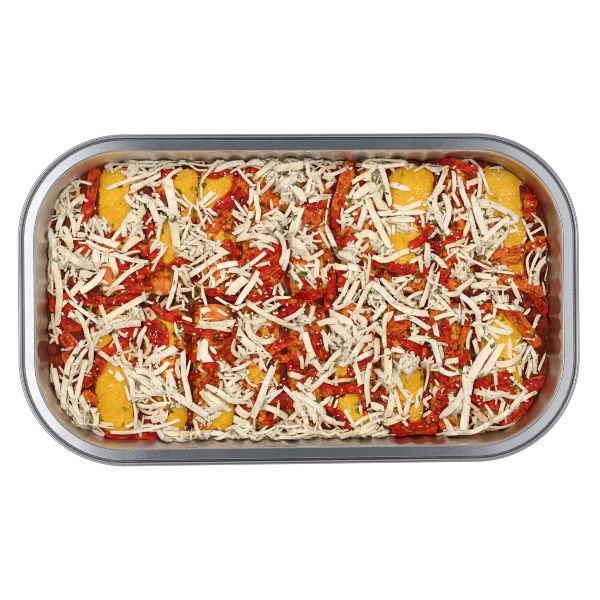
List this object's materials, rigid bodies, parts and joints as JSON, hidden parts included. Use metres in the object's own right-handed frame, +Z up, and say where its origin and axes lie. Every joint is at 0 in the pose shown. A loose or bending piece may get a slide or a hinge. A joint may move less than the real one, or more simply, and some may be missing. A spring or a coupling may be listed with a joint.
{
  "type": "cheese manicotti",
  "caption": "Round-cornered foil tray of stuffed pasta tubes in tomato sauce, under shredded cheese, sun-dried tomato strips and chopped herbs, ready to bake.",
  "frame": {"origin": "on the table, under the middle of the tray's outline", "axes": "+X along the tray's long side, +Y along its short side and along the pasta tubes, +Z up"},
  "size_m": [0.3238, 0.1908, 0.045],
  "materials": {
    "foil": "bright rolled foil with fine grain along the rim",
    "pasta": "egg yellow, moist, slightly wrinkled",
    "sauce": "glossy tomato red with orange oil at its edge",
    "tomato": "oily, wrinkled, deep red with orange edges",
    "cheese": "cream white, soft, waxy"
  },
  "bodies": {
    "root": {"tray": "foil", "sauce": "sauce", "cheese": "cheese", "manicotti_01": "pasta", "manicotti_02": "pasta", "manicotti_03": "pasta", "manicotti_04": "pasta", "manicotti_05": "pasta", "manicotti_06": "pasta", "manicotti_07": "pasta", "manicotti_08": "pasta", "manicotti_09": "pasta", "manicotti_10": "pasta", "manicotti_11": "pasta", "manicotti_12": "pasta", "manicotti_13": "pasta", "manicotti_14": "pasta", "manicotti_15": "pasta", "manicotti_16": "pasta", "manicotti_17": "pasta", "manicotti_18": "pasta", "tomato_01": "tomato", "tomato_02": "tomato", "tomato_03": "tomato", "tomato_04": "tomato", "tomato_05": "tomato", "tomato_06": "tomato", "tomato_07": "tomato", "tomato_08": "tomato", "tomato_09": "tomato", "tomato_10": "tomato", "tomato_11": "tomato", "tomato_12": "tomato", "tomato_13": "tomato", "tomato_14": "tomato", "tomato_15": "tomato", "tomato_16": "tomato", "tomato_17": "tomato", "tomato_18": "tomato", "tomato_19": "tomato", "tomato_20": "tomato", "tomato_21": "tomato", "tomato_22": "tomato", "tomato_23": "tomato", "tomato_24": "tomato", "tomato_25": "tomato", "tomato_26": "tomato", "tomato_27": "tomato", "tomato_28": "tomato", "tomato_29": "tomato", "tomato_30": "tomato", "tomato_31": "tomato", "tomato_32": "tomato", "tomato_33": "tomato", "tomato_34": "tomato", "tomato_35": "tomato", "tomato_36": "tomato"}
  },
  "joints": []
}
